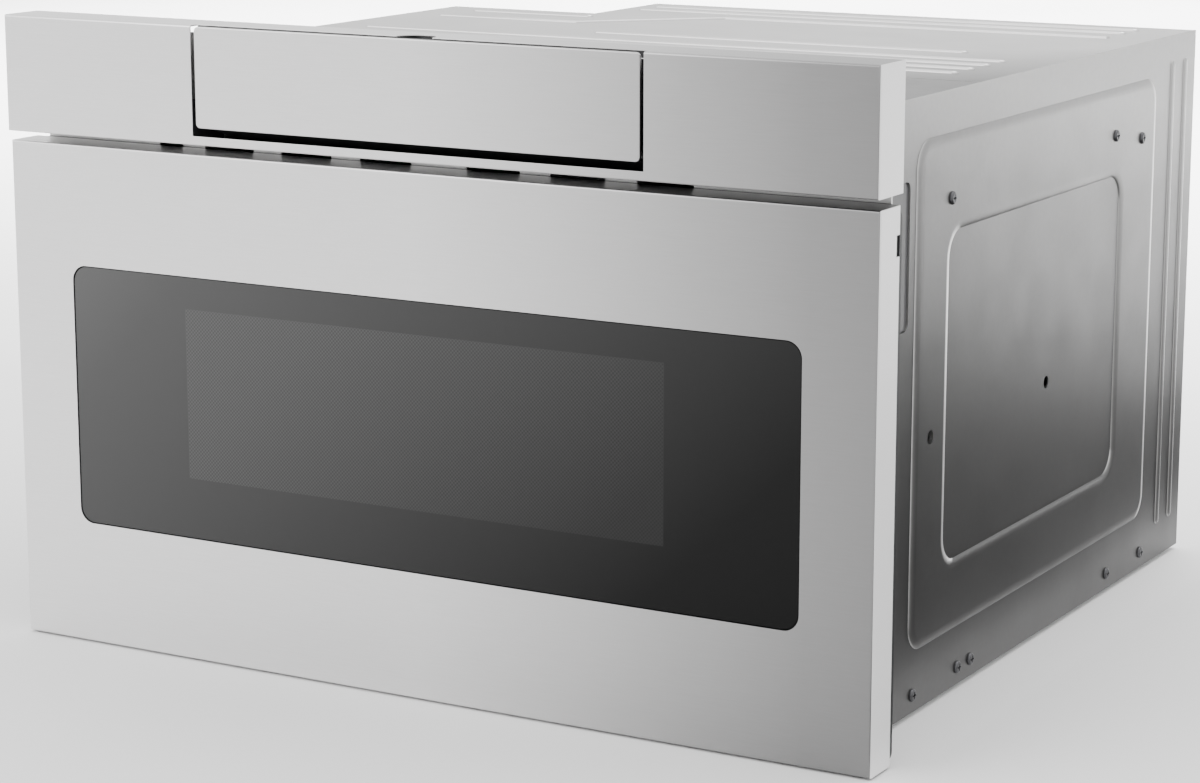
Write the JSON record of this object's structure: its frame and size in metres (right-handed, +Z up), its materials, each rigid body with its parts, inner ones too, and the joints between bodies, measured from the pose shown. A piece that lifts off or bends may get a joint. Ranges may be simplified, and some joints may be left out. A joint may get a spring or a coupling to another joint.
{
  "type": "microwave drawer",
  "caption": "Built-in microwave oven whose front pulls out as a motorised drawer on telescopic slides, with a flip-up control panel over the window.",
  "frame": {"origin": "centre of the bounding box in plan, on the surface that the base skids stand on", "axes": "+Z up, -Y out of the drawer front, +X to the right as seen facing the front"},
  "size_m": [0.6064, 0.592, 0.404],
  "materials": {
    "stainless": "brushed",
    "zinc_sheet": "zinc coated",
    "oven_enamel": "grey enamel",
    "dark_steel": "black enamel",
    "slide_steel": "bright zinc",
    "black_plastic": "moulded",
    "grey_plastic": "moulded",
    "white_plastic": "moulded",
    "door_glass": "tinted",
    "key_glass": "polished black",
    "ceramic_plate": "glazed",
    "aluminium_fins": "bright",
    "core_iron": "varnished laminations",
    "copper_coil": "enamelled winding",
    "circuit_board": "lacquered board",
    "screw_steel": "black zinc"
  },
  "bodies": {
    "chassis": {"base_plate": "zinc_sheet", "side_panel_left": "zinc_sheet", "side_panel_right": "zinc_sheet", "front_top_plate": "zinc_sheet", "top_cover": "zinc_sheet", "rear_panel": "zinc_sheet", "step_panel": "zinc_sheet", "front_frame": "zinc_sheet", "fascia": "stainless", "control_bracket_left": "dark_steel", "control_bracket_right": "dark_steel", "cavity_shell": "oven_enamel", "rear_bulkhead": "zinc_sheet", "cavity_rail_left": "zinc_sheet", "cavity_rail_right": "zinc_sheet", "waveguide": "zinc_sheet", "stirrer_motor": "dark_steel", "magnetron": "zinc_sheet", "magnetron_fins": "aluminium_fins", "transformer_core": "core_iron", "transformer_coils": "copper_coil", "hv_capacitor": "aluminium_fins", "fan_frame": "black_plastic", "fan_motor": "dark_steel", "cavity_lamp": "white_plastic", "power_board": "circuit_board", "noise_filter": "circuit_board", "interlock_switches": "white_plastic", "outer_slide_left": "slide_steel", "outer_slide_right": "slide_steel", "slide_spacer_left": "zinc_sheet", "slide_spacer_right": "zinc_sheet", "motor_bracket": "zinc_sheet", "drive_motor": "dark_steel", "rack_guide": "grey_plastic", "cord_gland": "black_plastic", "side_screws": "screw_steel", "rear_screws": "screw_steel"},
    "drawer": {"drawer_front_skin": "stainless", "drawer_front_glass": "door_glass", "glass_carrier": "black_plastic", "view_screen": "dark_steel", "inner_panel": "dark_steel", "choke_cover": "black_plastic", "drawer_box": "grey_plastic", "box_floor_plate": "ceramic_plate", "latch_hooks": "white_plastic", "drawer_rail_left": "slide_steel", "drawer_rail_right": "slide_steel", "inner_slide_left": "slide_steel", "inner_slide_right": "slide_steel", "drive_rack": "white_plastic"},
    "middle_slide_left_body": {"middle_slide_left": "slide_steel"},
    "middle_slide_right_body": {"middle_slide_right": "slide_steel"},
    "pinion": {"drive_pinion": "white_plastic"},
    "control_panel": {"control_skin": "stainless", "control_housing": "black_plastic", "control_glass": "key_glass"},
    "fan_rotor": {"fan_wheel": "black_plastic"},
    "stirrer": {"stirrer_blade": "aluminium_fins"}
  },
  "joints": [
    {"name": "drawer_slide", "type": "slide", "parent": "chassis", "child": "drawer", "axis": [0, -1, 0], "range_m": [0, 0.38]},
    {"name": "slide_left", "type": "slide", "parent": "chassis", "child": "middle_slide_left_body", "axis": [0, -1, 0], "range_m": [0, 0.19]},
    {"name": "slide_right", "type": "slide", "parent": "chassis", "child": "middle_slide_right_body", "axis": [0, -1, 0], "range_m": [0, 0.19]},
    {"name": "pinion_spin", "type": "hinge", "parent": "chassis", "child": "pinion", "pos_m": [0.014, -0.23, 0], "axis": [0, 0, 1], "range_deg": [0, 1361]},
    {"name": "control_tilt", "type": "hinge", "parent": "chassis", "child": "control_panel", "pos_m": [0, -0.29, 0.3448], "axis": [1, 0, 0], "range_deg": [0, 45]},
    {"name": "fan_spin", "type": "hinge", "parent": "chassis", "child": "fan_rotor", "pos_m": [0.205, 0.269, 0.126], "axis": [0, 1, 0], "continuous": true},
    {"name": "stirrer_spin", "type": "hinge", "parent": "chassis", "child": "stirrer", "pos_m": [0, -0.046, 0.27], "axis": [0, 0, 1], "continuous": true}
  ],
  "couplings": [
    {"joint": "slide_left", "follows": "drawer_slide", "ratio": 0.5},
    {"joint": "slide_right", "follows": "drawer_slide", "ratio": 0.5},
    {"joint": "pinion_spin", "follows": "drawer_slide", "rad_per_m": 62.5}
  ]
}
